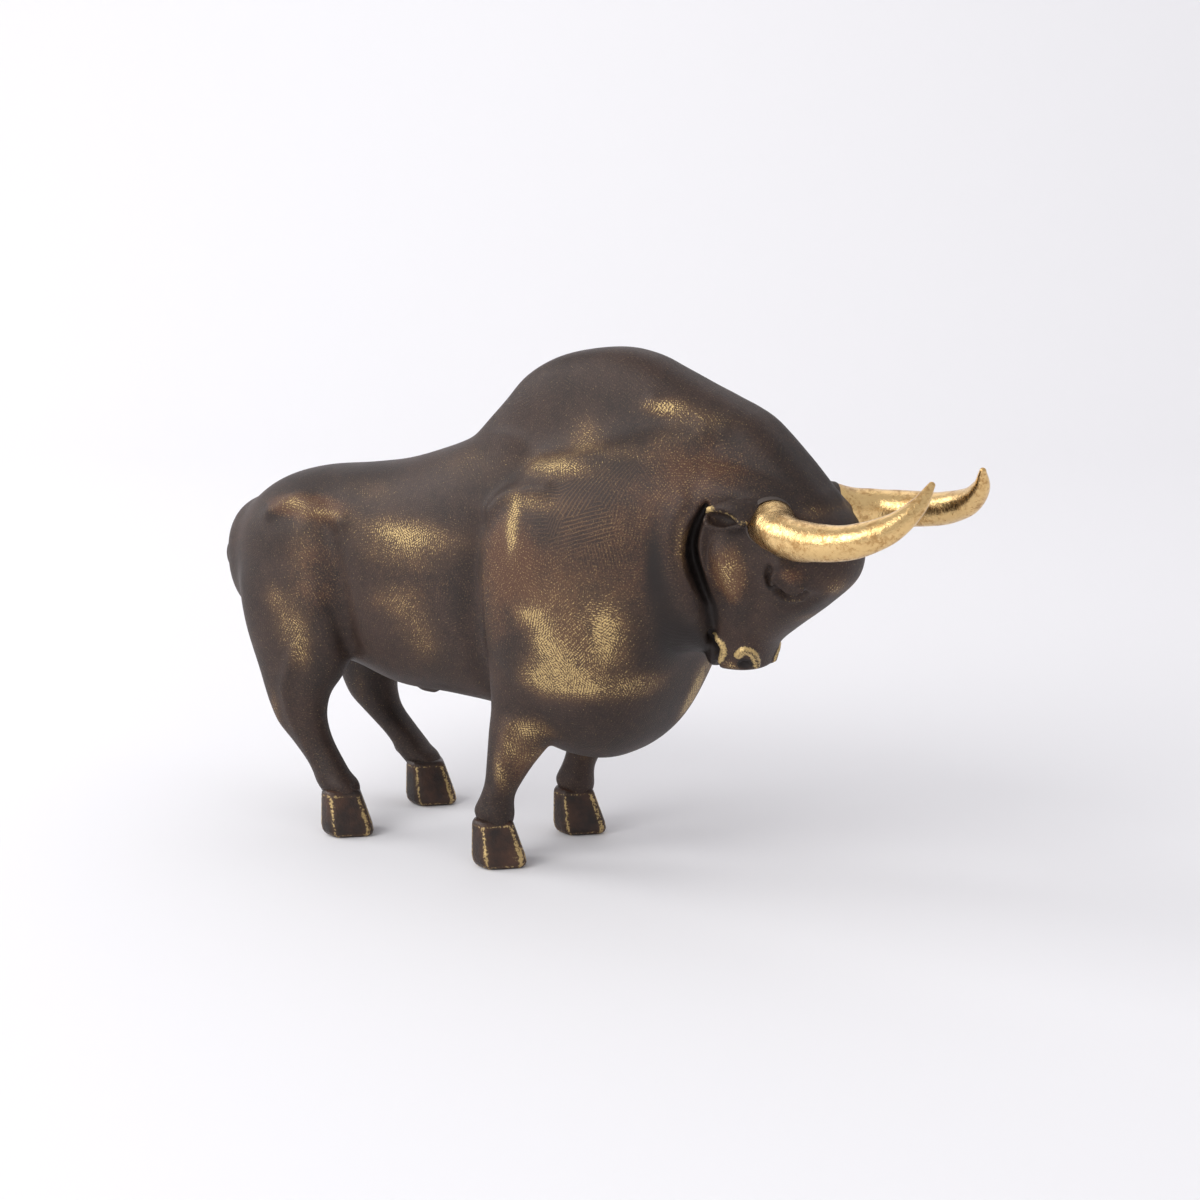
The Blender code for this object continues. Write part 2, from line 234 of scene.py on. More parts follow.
# Broad strokes of the modelling tool on both sides: path, width, height. A groove is below 0.
BROAD_STROKES = (
    (((78, 88, 170), (76, 90, 230), (77, 90, 290), (86, 88, 335)), 13, -4),
    (((-116, 78, 318), (-102, 82, 286), (-94, 82, 252), (-91, 78, 220), (-92, 74, 196)), 14, -6.5),
    (((-140, 84, 306), (-126, 88, 276), (-120, 88, 240)), 15, 3),
    (((-190, 70, 322), (-172, 66, 330), (-156, 63, 335),
      (-137, 67, 329), (-112, 69, 324), (-94, 72, 320)), 9, 4.5),
    (((98, 86, 352), (112, 86, 366), (141, 88, 373), (164, 88, 376)), 9, 4.5),
    (((142, 72, 391), (178, 76, 398), (215, 74, 409), (250, 68, 420), (302, 56, 434)), 15, 5),
    (((250, 38, 458), (287, 37, 451), (319, 36, 440)), 10, 3),
    (((304, 78, 376), (298, 78, 358), (294, 77, 336),
      (295, 75, 314), (303, 68, 294), (309, 60, 276)), 10, 3.5),
    (((334, 66, 332), (345, 64, 312), (351, 62, 296)), 12, 5.5),
    (((362, 62, 330), (370, 60, 310), (368, 52, 285)), 12, -4),
    (((394, 59, 324), (402, 55, 316), (406, 50, 309)), 8, 4.5),
    (((392, 50, 293), (404, 42, 287), (414, 36, 292)), 8, -3),
    (((355, 46, 268), (348, 38, 250)), 12, -3),
    (((-140, 62, 50), (-140, 76, 50)), 6, 3),
    (((-50, 0, 147), (-38, 0, 147)), 8, 7),
    (((124, 92, 150), (112, 90, 110), (98, 88, 72)), 7, 2.5),
    (((-142, 92, 190), (-158, 90, 140), (-140, 88, 92), (-118, 86, 60)), 8, 2.5),
)

# Grooves pressed in with the edge of a tool: path of x, side, z and half width; the tool's way in;
# depth, counted in half widths.
GROOVES = (
    (
        (
            (326, 70, 374, 3.2), (322, 72, 366, 4.4), (314, 71, 351, 5.8), (310, 70, 337, 6.6),
            (310, 68, 323, 7.0), (315, 65, 305, 6.6), (320, 60, 288, 4.8), (323, 56, 277, 3.6),
            (322, 52, 267, 3.4), (318, 46, 251, 3.8),
        ),
        (-0.45, -0.88, -0.1),
        3.0,
    ),
)

# Fine strokes, made last: path, width, height, and what is painted on them: gold above 0, painted shade
# below.
FINE_STROKES = (
    (((86, 88, 172), (88, 92, 214), (89, 94, 245), (90, 96, 280)), 3.2, -3.4, -0.9),
    (((317, 74, 368), (307, 74, 354), (302, 73, 338),
      (302, 72, 323), (306, 69, 306), (311, 64, 291)), 3.0, 1.0, 0.01),
    (((384, 60, 321), (382, 56, 313), (382, 53, 306), (386, 51, 300), (393, 49, 297)), 3, -5, -1.6),
    (((388, 60, 314), (391, 58, 309), (395, 55, 305),
      (399, 50, 302), (404, 46, 300), (410, 44, 303)), 2.4, 3.6, 0.4),
    (((392, 51, 297), (398, 47, 294), (405, 44, 294), (411, 41, 298)), 3.2, -4.5, -1.2),
    (((388, 50, 292), (396, 45, 290), (405, 42, 290)), 2.2, 1.6, 0.5),
    (((337, 34, 231), (339, 33, 234), (343, 31, 236),
      (347, 27, 234), (349, 22, 228), (348, 19, 220)), 3.3, 4, 3.4),
    (((310, 31, 250), (311, 33, 242), (313, 34, 235), (313, 33, 228),
      (311, 28, 221), (310, 18, 217), (310, -1, 216)), 3.2, -7, -2),
    (((314, 35, 246), (319, 34, 242), (322, 33, 237),
      (322, 33, 231), (318, 32, 226), (314, 30, 223)), 3.1, 3.5, 3.2),
    (((338, 89, 375), (344, 88, 374), (352, 86, 370), (360, 83, 366), (371, 78, 363)), 2.2, 2.6, 2.4),
    (((334, 88, 366), (337, 88, 359), (344, 86, 355), (354, 82, 355), (366, 76, 360)), 2.0, 2.4, 0.3),
    (((-147, 60, 47), (-146, 69, 47), (-147, 80, 47)), 3, -2.5, -0.6),
    (((-80, 58, 53), (-78, 69, 53), (-80, 82, 53)), 3, -2.5, -0.6),
    (((-284, 11, 284), (-286, 14, 266), (-284, 14, 246), (-274, 12, 230)), 3, -3, -0.7),
)

# Hollows pressed in with a round tool: middle, directions and radii of its egg; the tool's way in.
HOLLOWS = (
    ((350, 87, 365), ((-0.94, 0.3, 0.16), (0.1, 0.0, 1.0)), (17.5, 15, 9.2), (0.12, -0.97, 0.1)),
    ((343, 28, 220), ((0.83, -0.56, 0.0), (0.1, 0.1, 1.0)), (7.5, 10, 5.4), (-0.4, -0.55, 0.72)),
    ((382.5, 58, 311), ((0.1, -0.2, -0.97), (0.85, -0.3, 0.1)), (9.5, 8, 4.0), (-0.2, -0.98, 0)),
)

# Painted shade, dark umber in the ear's cup, the nostril, the mouth's corner, the eye, round the chin
# and beside the neck's fold: middle of x, side, z; radii; strength.
PAINTED_SHADE_PATCHES = (
    ((352, 82, 364), (15, 12, 7), 0.9),
    ((342, 27, 221), (7.5, 9, 5.5), 2.2),
    ((309, 32, 238), (5, 8, 9), 1.6),
    ((386, 52, 303), (8, 6, 5), 1.0),
    ((290, 46, 222), (26, 46, 74), 1.3),
    ((281, 74, 322), (15, 30, 46), 0.95),
)

# Rubbed patches on both sides: middle of x, side, z; radii; strength of the gold. The faint patches
# along the shoulder's ridge and behind the shoulder are a painted sheen of brown haze.
GILT_AND_SHEEN_PATCHES = (
    ((130, 94, 350), (9, 60, 18), 0.8),
    ((134, 100, 330), (7, 60, 17), 0.95),
    ((152, 92, 364), (36, 60, 9), 0.5),
    ((150, 72, 395), (28, 40, 9), 0.8),
    ((190, 78, 398), (30, 40, 9), 0.55),
    ((182, 52, 422), (24, 30, 20), 0.42),
    ((262, 38, 455), (22, 20, 7), 0.95),
    ((300, 38, 445), (34, 22, 9), 0.42),
    ((172, 104, 240), (13, 60, 22), 0.8),
    ((156, 106, 261), (17, 60, 9), 0.65),
    ((164, 100, 200), (22, 60, 15), 0.8),
    ((198, 102, 216), (30, 60, 22), 0.9),
    ((214, 98, 196), (42, 60, 11), 0.7),
    ((236, 95, 248), (15, 60, 26), 0.85),
    ((252, 84, 200), (11, 60, 14), 0.6),
    ((204, 104, 268), (60, 60, 40), 0.4),
    ((305, 76, 340), (4, 30, 26), 0.5),
    ((142, 92, 146), (20, 60, 10), 0.85),
    ((122, 91, 124), (9, 60, 15), 0.75),
    ((108, 90, 98), (7, 60, 18), 0.8),
    ((140, 80, 118), (12, 60, 17), 0.5),
    ((-8, 80, 318), (58, 60, 13), 0.82),
    ((-14, 82, 299), (52, 60, 17), 0.45),
    ((-16, 84, 250), (30, 60, 17), 0.5),
    ((8, 80, 216), (22, 60, 26), 0.42),
    ((-168, 92, 240), (12, 60, 12), 0.42),
    ((-148, 94, 214), (20, 60, 22), 0.55),
    ((-134, 92, 190), (12, 60, 20), 0.55),
    ((-160, 66, 333), (18, 24, 6), 0.8),
    ((-120, 70, 326), (34, 24, 5), 0.6),
    ((346, 62, 314), (12, 24, 20), 0.78),
    ((427, 14, 308), (8, 14, 14), 0.8),
    ((410, 14, 368), (10, 30, 8), 0.5),
    ((392, 6, 272), (10, 16, 6), 0.5),
    ((40, 74, 392), (60, 40, 18), 0.25),
    ((-70, 70, 352), (40, 40, 12), 0.25),
    ((-176, 80, 120), (8, 40, 22), 0.4),
    ((-140, 84, 290), (16, 60, 44), 0.3),
    ((328, 31, 219), (9, 12, 4), 0.9),
    # Painted sheen along the shoulder's ridge, as brown haze.
    ((232, 72, 414), (50, 40, 8), 0.3),
    ((284, 62, 429), (30, 40, 8), 0.26),
    # Painted sheen behind the shoulder, as brown haze.
    ((100, 92, 270), (14, 60, 60), 0.16),
)

# Places that are gold all over.
GOLD_TIPS = (((336, 88, 374), (5, 12, 4), 1.6),)

# The same on one side only: the left of the dewlap.
GILT_PATCHES_LEFT = (((248, 36, 168), (16, 13, 30), 1.9),)

# Where the tool's marks are left to be seen. The patch on the shoulder's ridge also lightens it as a
# painted sheen.
SCRATCHED_AND_SHEEN_PATCHES = (
    ((215, 96, 350), (46, 60, 30), 1.0),
    ((168, 94, 368), (40, 60, 14), 0.7),
    # Painted sheen: lighter brown marks along the shoulder's ridge.
    ((200, 90, 392), (44, 60, 12), 0.5),
    ((262, 90, 400), (40, 60, 24), 0.4),
    ((236, 90, 330), (20, 60, 26), 0.5),
)

# Warm red brown that shows through, as rubbed patches.
RUST_PATCHES = (
    ((160, 104, 290), (50, 60, 44), 0.8),
    ((128, 100, 320), (30, 60, 40), 0.8),
    ((254, 92, 340), (60, 60, 60), 0.75),
    ((210, 104, 225), (60, 60, 50), 0.7),
    ((-10, 80, 270), (70, 60, 70), 0.5),
    ((-130, 90, 270), (40, 60, 60), 0.75),
    ((-146, 66, 330), (56, 24, 12), 1.5),
    ((344, 62, 310), (16, 30, 26), 1.6),
    ((404, 50, 316), (16, 30, 10), 0.9),
    ((104, 92, 270), (30, 60, 80), 0.4),
    ((300, 70, 412), (50, 60, 40), 0.6),
    ((130, 84, 110), (30, 60, 50), 0.9),
    ((340, 60, 400), (60, 40, 40), 0.45),
)

# Square soft lights, in metres and watts: name, place, what it looks at, size, power.
LAMPS = (
    ("front", (-0.5, -2.2, 1.5), (0, 0, 0.11), 1.6, 34),
    ("left", (-2.1, -0.7, 1.3), (0, 0, 0.11), 1.4, 23),
    ("back", (-1.1, 1.4, 2.0), (0, 0, 0.11), 1.6, 3),
    ("wall", (-0.7, 1.0, 2.6), (-1.1, 2.4, 1.2), 1.6, 5),
)


# What a user sets


def tint(name, description, value):
    """A colour that the user can set."""
    return bpy.props.FloatVectorProperty(
        name=name,
        description=description,
        default=value,
        subtype="COLOR",
    )


def measure(name, description, value):
    """A length that the user can set."""
    return bpy.props.FloatProperty(
        name=name,
        description=description,
        default=value,
        unit="LENGTH",
    )


class BullShape(bpy.types.PropertyGroup):
    """Sizes of the bull."""

    hump_height: bpy.props.FloatProperty(
        name="Hump height",
        description="Height of the hump above the floor",
        default=0.236,
        min=0.05,
        unit="LENGTH",
    )
    horn_root_radius: measure("Horn root radius", "Radius of a horn where it leaves its socket", 0.0093)
    clay_grid: measure("Clay grid", "Size of the squares that the masses are pressed into", 0.0008)
    body_faces: bpy.props.IntProperty(
        name="Body faces",
        description="Triangles that are left in the body",
        default=190000,
        min=1000,
    )


class BullFinish(bpy.types.PropertyGroup):
    """Colours of the patina and the gold."""

    # Also the colour of the painted shade in the hollows and grooves.
    umber_and_painted_shade: tint("Umber", "Darkest colour of the patina", (0.0190, 0.0140, 0.0125))
    bronze: tint("Bronze", "Main colour of the patina", (0.0575, 0.0335, 0.0262))
    rust: tint("Rust", "Red brown that shows through", (0.096, 0.043, 0.025))
    rubbed_gold: tint("Rubbed gold", "Gold rubbed on the high places", (0.60, 0.43, 0.19))
    # Also the painted sheen along the shoulder's ridge and behind the shoulder.
    rubbed_brown_and_sheen: tint("Rubbed brown", "Between the strokes of gold", (0.150, 0.084, 0.044))
    leaf: tint("Leaf", "Gold leaf on the horns", (0.80, 0.55, 0.25))
    leaf_shade: tint("Leaf shade", "Worn leaf", (0.36, 0.18, 0.055))


class BullStage(bpy.types.PropertyGroup):
    """Floor, lights and camera."""

    azimuth: bpy.props.FloatProperty(
        name="Azimuth",
        description="How far the camera stands round from the bull's right side towards its front",
        default=math.radians(34),
        subtype="ANGLE",
    )
    elevation: bpy.props.FloatProperty(
        name="Elevation",
        description="How far the camera looks down",
        default=math.radians(11.4),
        subtype="ANGLE",
    )
    distance: measure("Distance", "From the camera to the plane it aims at", 1.1992)
    aim_right: measure("Aim right", "Where the camera aims, to the right of the stance", 0.06428)
    aim_up: measure("Aim up", "Where the camera aims, up from the stance", 0.11081)
    lens: bpy.props.FloatProperty(
        name="Lens",
        description="Focal length in millimetres",
        default=75.0,
        min=10,
    )
    floor_colour: tint("Floor", "Colour of the floor and backdrop", (0.88, 0.87, 0.885))


# Curves and slices


def eased_rows(rows, per_span):
    """Rows on a cubic curve through the rows; each span leaves along the line of its neighbours."""
    rows = np.asarray(rows, float)
    ends = np.vstack([2 * rows[0] - rows[1], rows, 2 * rows[-1] - rows[-2]])
    s = (np.arange(per_span) / per_span)[:, None]
    spans = []
    for a, b, c, d in zip(ends, ends[1:], ends[2:], ends[3:]):
        stay = 2 * s**3 - 3 * s**2 + 1
        leave = (s**3 - 2 * s**2 + s) * (c - a) / 2
        arrive = (s**3 - s**2) * (d - b) / 2
        spans.append(stay * b + leave + (1 - stay) * c + arrive)
    return np.vstack([*spans, rows[-1:]])


def ramp(value, low, high):
    """0 below low, 1 above high, and a smooth step between."""
    share = np.clip((value - low) / (high - low), 0, 1)
    return share * share * (3 - 2 * share)


def turns(count):
    """Angles of a full turn, as one row."""
    return np.linspace(0, 2 * math.pi, count, endpoint=False)[None, :]


def reach(angle, side, top, bottom, square):
    """Radius of a superellipse at an angle, with its own height above and below its middle."""
    c, s = np.cos(angle), np.sin(angle)
    height = np.where(s > 0, top, bottom)
    return ((np.abs(c) / side) ** square + (np.abs(s) / height) ** square) ** (-1 / square)


def tipped(rings, depth):
    """Rings with a round tip, which shrinks with the cosine of an angle and moves on with its sine."""
    ring = rings[-1]
    middle = ring.mean(0)
    way = middle - rings[-2].mean(0)
    way /= np.linalg.norm(way)
    turn = np.radians((15, 30, 45, 58, 69, 78, 85))[:, None, None]
    return np.vstack([rings, middle + (ring - middle) * np.cos(turn) + way * depth * np.sin(turn)])


def domed(rings, depth_first, depth_last):
    """Rings with a rounded tip at both ends."""
    return tipped(tipped(rings[::-1], depth_first)[::-1], depth_last)


def columns(rows):
    """The rows' columns, each as a column of an array."""
    return [rows[:, i : i + 1] for i in range(rows.shape[1])]


def barrel_rings():
    """Upright superellipses along X."""
    x, bottom, top, middle, side = columns(eased_rows(BARREL, 8))
    angle = turns(96)
    r = reach(angle, side, top - middle, middle - bottom, 2.3)
    return np.stack([x + 0 * r, r * np.cos(angle), middle + r * np.sin(angle)], -1)


def forequarters_rings():
    """Upright slices along X: the seventh-power sum of a wide shoulder and a narrow crest above it."""
    x, bottom, top, middle, side, shoulder, crest = columns(eased_rows(FOREQUARTERS, 8))
    angle = turns(128)
    body = reach(angle, side, shoulder - middle, middle - bottom, 2.6)
    blade = reach(angle, crest, top - middle, crest, 3.2)
    r = (body**7 + blade**7) ** (1 / 7)
    return np.stack([x + 0 * r, r * np.cos(angle), middle + r * np.sin(angle)], -1)


def level_rings(rows, side):
    """Level superellipses, going down. side is -1 for the right and +1 for the left."""
    z, back, front, off, half = columns(eased_rows(rows, 8))
    angle = turns(80)
    r = reach(angle, half, (front - back) / 2, (front - back) / 2, 2.3)
    x = (front + back) / 2 + r * np.sin(angle)
    return np.stack([x, side * off + r * np.cos(angle), z + 0 * r], -1)


def hind_leg_rings(side):
    """A hind leg's level slices; on the left the hock stands further back."""
    rings = level_rings(HIND_LEG, side)
    if side > 0:
        rings[..., 0] -= LEFT_HOCK_STEP * ramp(rings[..., 2], 25, 105)
    return rings


def spokes(line, around):
    """Directions square to a line at each point, once round: cosine of one plus sine of another."""
    way = np.gradient(line, axis=0)
    way /= np.linalg.norm(way, axis=1)[:, None]
    across = np.cross(way, (0, 1, 0.3))
    across /= np.linalg.norm(across, axis=1)[:, None]
    angle = turns(around)[..., None]
    return across[:, None] * np.cos(angle) + np.cross(way, across)[:, None] * np.sin(angle)


def round_rings(rows, side, around, per_span):
    """Circles square to a middle line of x, side, z and radius."""
    rows = eased_rows(rows, per_span)
    line = rows[:, :3] * (1, side, 1)
    return line[:, None] + spokes(line, around) * rows[:, 3][:, None, None]


def ear_rings(side):
    """Ellipses along an ear's middle line, taller than they are thick."""
    rows = eased_rows(EAR, 10)
    line = rows[:, :3] * (1, side, 1)
    way = np.gradient(line, axis=0)
    way /= np.linalg.norm(way, axis=1)[:, None]
    flat = np.cross(way, (0.35, -0.1 * side, 1))
    flat /= np.linalg.norm(flat, axis=1)[:, None]
    angle = turns(64)[..., None]
    spoke = np.cross(flat, way)[:, None] * np.cos(angle) * rows[:, 3][:, None, None]
    return line[:, None] + spoke + flat[:, None] * np.sin(angle) * rows[:, 4][:, None, None]


# Meshes


def skin(rings):
    """Points and faces of a closed surface over rings, facing out: its volume comes out positive."""
    n, m = rings.shape[:2]
    points = rings.reshape(-1, 3)
    i, j = np.meshgrid(np.arange(n - 1), np.arange(m), indexing="ij")
    k = (j + 1) % m
    walls = np.stack([i * m + j, i * m + k, (i + 1) * m + k, (i + 1) * m + j], -1).reshape(-1, 4)
    a, b, c, d = (points[walls[:, corner]] for corner in range(4))
    volume = np.einsum("ij,ij->", a, np.cross(b, c)) + np.einsum("ij,ij->", a, np.cross(c, d))
    faces = walls.tolist() + [list(range(m))[::-1], list(range((n - 1) * m, n * m))]
    return points, faces if volume > 0 else [face[::-1] for face in faces]


def linked(name, data):
    """An object for the data, in the scene."""
    obj = bpy.data.objects.new(name, data)
    bpy.context.scene.collection.objects.link(obj)
    return obj


def mesh_object(name, shells, scale):
    """One object from several closed shells, scaled from units to metres and set in the frame."""
    points = np.vstack([shell_points for shell_points, _ in shells]) * scale
    points[:, 0] += STANCE_X
    faces = []
    start = 0
    for shell_points, shell_faces in shells:
        faces += [[corner + start for corner in face] for face in shell_faces]
        start += len(shell_points)
    mesh = bpy.data.meshes.new(name)
    mesh.from_pydata(points.tolist(), [], faces)
    mesh.update()
    return linked(name, mesh)


def read(collection, key, width, kind=np.float32):
    """A mesh's values as an array."""
    flat = np.empty(len(collection) * width, kind)
    collection.foreach_get(key, flat)
    return flat.reshape(-1, width)


def units_of(mesh, scale):
    """The mesh's points in units."""
    points = read(mesh.vertices, "co", 3).astype(float)
    points[:, 0] -= STANCE_X
    return points / scale


def put_units(mesh, points, scale):
    """Moves the mesh's points to places given in units."""
    places = points * scale
    places[:, 0] += STANCE_X
    mesh.vertices.foreach_set("co", places.astype(np.float32).ravel())
    mesh.update()


def settle(obj):
    """Gives the object the mesh that its modifiers make, and removes them."""
    depsgraph = bpy.context.evaluated_depsgraph_get()
    mesh = bpy.data.meshes.new_from_object(obj.evaluated_get(depsgraph))
    obj.modifiers.clear()
    obj.data = mesh


def relax(points, edges, weight, rounds):
    """Each round moves every point towards the mean of its neighbours, by its weight."""
    here = np.concatenate([edges[:, 0], edges[:, 1]])
    there = np.concatenate([edges[:, 1], edges[:, 0]])
    count = np.bincount(here, minlength=len(points))
    share = weight / np.maximum(count, 1)
    for _ in range(rounds):
        total = np.stack([np.bincount(here, points[there, axis], len(points)) for axis in range(3)], 1)
        points = points + share[:, None] * (total - count[:, None] * points)
    return points


def distance_to(points, path):
    """Distance from each point to a broken line."""
    path = np.array(path, float)
    nearest = np.full(len(points), np.inf)
    for a, b in zip(path, path[1:]):
        way = b - a
        share = np.clip((points - a) @ way / max(way @ way, 1e-9), 0, 1)
        nearest = np.minimum(nearest, np.linalg.norm(points - a - share[:, None] * way, axis=1))
    return nearest


def on_skin(points, path):
    """The path, cut finer and moved to the skin beside it, where a distance across counts a third."""
    squeezed = points * (1, 0.33, 1)
    places = eased_rows(path, 6) * (1, 0.33, 1)
    return np.array([points[np.argmin(((squeezed - place) ** 2).sum(1))] for place in places])


def folded(points):
    """The points with their side counted from the middle, so that one path serves left and right."""
    return points * (1, 0, 1) + np.abs(points) * (0, 1, 0)


def lines_near(points, lines):
    """Sum of bell curves of the distance to each line, by its width and strength."""
    total = np.zeros(len(points))
    for path, width, strength in lines:
        low = np.min(path, 0) - 3 * width
        high = np.max(path, 0) + 3 * width
        close = np.all((points > low) & (points < high), axis=1)
        total[close] += strength * np.exp(-((distance_to(points[close], path) / width) ** 2))
    return total


def patches_near(points, patches):
    """Sum of bell curves of the distance to each patch's middle, counted in its radii."""
    total = np.zeros(len(points))
    for middle, radii, strength in patches:
        far = (((points - middle) / radii) ** 2).sum(1)
        total += strength * np.exp(-far)
    return total


def grooved(points, groove):
    """The points inside a tube round a path, moved the given way onto its far wall.

    Along the way the tube reaches further, by the depth, so its cut is half of a long oval.
    """
    path, way, depth = groove
    rows = eased_rows(path, 6)
    margin = 1.1 * depth * rows[:, 3].max()
    way = np.array(way) / np.linalg.norm(way)
    out = points.copy()
    for side in (-1, 1):
        flip = np.array((1, side, 1))
        turned = points * flip
        low = rows[:, :3].min(0) - margin
        high = rows[:, :3].max(0) + margin
        near = np.flatnonzero(np.all((turned > low) & (turned < high), axis=1))
        best = np.full(len(near), np.inf)
        shift = np.zeros(len(near))
        for a, b in zip(rows, rows[1:]):
            line = b[:3] - a[:3]
            off = turned[near] - a[:3]
            share = np.clip(off @ line / (line @ line), 0, 1)
            off = off - share[:, None] * line
            radius = a[3] + share * (b[3] - a[3])
            along = off @ way
            beside = (off**2).sum(1) - along**2
            wall = depth * np.sqrt(np.maximum(radius**2 - beside, 0))
            closer = (beside < np.minimum(best, radius**2)) & (np.abs(along) < wall)
            best[closer] = beside[closer]
            shift[closer] = (wall - along)[closer]
        out[near] += shift[:, None] * way * flip
    return out


def pressed(points, hollow):
    """The points inside an egg, moved the given way onto its far wall.

    In the egg's own measure a point q moves to q + t w, where t solves |q + t w| = 1.
    """
    middle, directions, radii, way = hollow
    first = np.array(directions[0]) / np.linalg.norm(directions[0])
    second = np.array(directions[1]) - first * (first @ directions[1])
    second /= np.linalg.norm(second)
    axes = np.stack([first, np.cross(first, second), second])
    way = np.array(way) / np.linalg.norm(way)
    out = points.copy()
    for side in (-1, 1):
        flip = np.array((1, side, 1))
        q = ((points * flip - middle) @ axes.T) / radii
        w = (axes @ way) / radii
        inside = ((q**2).sum(1) < 1) & (points[:, 1] * side > 0)
        q = q[inside]
        along = q @ w / (w @ w)
        t = -along + np.sqrt(along**2 + (1 - (q**2).sum(1)) / (w @ w))
        out[inside] += t[:, None] * way * flip
    return out


def closed_masses():
    """The closed shells of the bull's masses."""
    rings = [
        domed(barrel_rings(), 34, 10),
        domed(forequarters_rings(), 6, 16),
        domed(level_rings([(z, back, front, 0, half) for z, back, front, half in HEAD], 1), 16, 6),
        domed(round_rings(TAIL, 1, 48, 8), 8, 8),
    ]
    for side in (-1, 1):
        collar = [(*(MOUTH - HORN_WAY * back), radius) for back, radius in COLLAR]
        rings.append(domed(hind_leg_rings(side), 20, 1))
        rings.append(domed(level_rings(FORE_LEG, side), 20, 1))
        rings.append(domed(round_rings(collar, side, 64, 8), 2, 3))
        rings.append(domed(ear_rings(side), 3, 3))
    return [skin(shell) for shell in rings]


def modelled(points, edges, rounds):
    """The pressed masses with rounded joins: most on the hump and the rump, least on the face."""
    x, z = points[:, 0], points[:, 2]
    face = ramp(x, 292, 318)
    points = relax(points, edges, 0.4 * (1 - 0.75 * face), round(3.1 * rounds))
    hump = ramp(z, 300, 360) * ramp(x, -60, 10) * (1 - ramp(x, 270, 350))
    rump = (1 - ramp(x, -200, -150)) * ramp(z, 120, 170) * (1 - 0.8 * ramp(-x, 285, 295))
    return relax(points, edges, 0.5 * np.maximum(0.5 * hump, rump), round(16 * rounds))


def attribute(mesh, name, values):
    """Writes a value for each point of the mesh, for its material to read."""
    layer = mesh.attributes.new(name, "FLOAT", "POINT")
    layer.data.foreach_set("value", values.astype(np.float32))


def smooth(mesh):
    """Shades every face smooth."""
    mesh.polygons.foreach_set("use_smooth", np.ones(len(mesh.polygons), bool))
    mesh.update()


# Shader nodes


class Wire:
    """A node's output. Its operators add Math nodes."""

    def __init__(self, pot, socket):
        self.pot = pot
        self.socket = socket

    def __add__(self, other):
        return self.pot.math("ADD", self, other)

    __radd__ = __add__

    def __mul__(self, other):
        return self.pot.math("MULTIPLY", self, other)

    __rmul__ = __mul__

    def __sub__(self, other):
        return self.pot.math("SUBTRACT", self, other)

    def __rsub__(self, other):
        return self.pot.math("SUBTRACT", other, self)

    def between(self, low, high):
        """0 where this is at low, 1 where it is at high, and smooth between."""
        settings = {"interpolation_type": "SMOOTHSTEP"}
        values = {"Value": self, "From Min": low, "From Max": high}
        return self.pot.node("ShaderNodeMapRange", settings, values)


class Pot:
    """One material and its nodes."""

    def __init__(self, name):
        self.material = bpy.data.materials.new(name)
        self.material.use_nodes = True
        self.tree = self.material.node_tree
        self.shader = self.tree.nodes["Principled BSDF"]

    def fill(self, node, values):
        """Sets a node's sockets, or links them."""
        for key, value in values.items():
            if isinstance(value, Wire):
                self.tree.links.new(value.socket, node.inputs[key])
            else:
                node.inputs[key].default_value = value

    def node(self, kind, settings=None, values=None, output=0):
        """Adds a node: first its settings, then the values or links of its sockets."""
        node = self.tree.nodes.new(kind)
        for key, value in (settings or {}).items():
            setattr(node, key, value)
        self.fill(node, values or {})
        return Wire(self, node.outputs[output])

    def place(self):
        return self.node("ShaderNodeTexCoord", output="Object")

    def math(self, operation, *values):
        return self.node("ShaderNodeMath", {"operation": operation}, dict(enumerate(values)))

    def vector(self, operation, *values):
        return self.node("ShaderNodeVectorMath", {"operation": operation}, dict(enumerate(values)))

    def reads(self, name):
        return self.node("ShaderNodeAttribute", {"attribute_name": name}, output="Fac")

    def noise(self, vector, scale, detail=3.0, roughness=0.55, distortion=0.0):
        values = {
            "Vector": vector,
            "Scale": scale,
            "Detail": detail,
            "Roughness": roughness,
            "Distortion": distortion,
        }
        return self.node("ShaderNodeTexNoise", None, values)

    def blend(self, mask, under, over):
        """A colour that goes from under to over as the mask goes from 0 to 1."""
        under, over = (value if isinstance(value, Wire) else (*value, 1) for value in (under, over))
        return self.node("ShaderNodeMix", {"data_type": "RGBA"}, {0: mask, 6: under, 7: over}, output=2)


def hatching(pot, place, patch, pitch, shift):
    """Parallel brush strokes in patches, from 0 in a groove to 1 on a ridge.

    A stroke is a level set of the distance along a direction that lies in the skin: its normal crossed
    with the patch's own random direction, which leans little to the sides. A slow noise bends it.
    """
    shifted = pot.vector("ADD", place, shift)
    slow = {"Vector": place, "Scale": 2.2 * patch, "Detail": 1.0}
    drift = pot.node("ShaderNodeTexNoise", None, slow, "Color")
    moved = pot.vector("ADD", shifted, pot.vector("MULTIPLY", drift, (0.4 / patch,) * 3))
    cell = pot.node("ShaderNodeTexVoronoi", None, {"Vector": moved, "Scale": patch}, "Color")
    middle = Wire(pot, cell.socket.node.outputs["Position"])
    facing = pot.node("ShaderNodeNewGeometry", output="Normal")
    lean = pot.vector("MULTIPLY", pot.vector("SUBTRACT", cell, (0.5, 0.5, 0.5)), (1.0, 0.15, 1.0))
    heading = pot.vector("NORMALIZE", pot.vector("CROSS_PRODUCT", facing, lean))
    off = pot.vector("SUBTRACT", shifted, middle)
    along = pot.node("ShaderNodeVectorMath", {"operation": "DOT_PRODUCT"}, {0: off, 1: heading}, "Value")
    bend = pot.noise(place, 2.5 * patch, 2.0)
    return pot.math("SINE", along * (2 * math.pi / pitch) + bend * 3.5) * 0.5 + 0.5


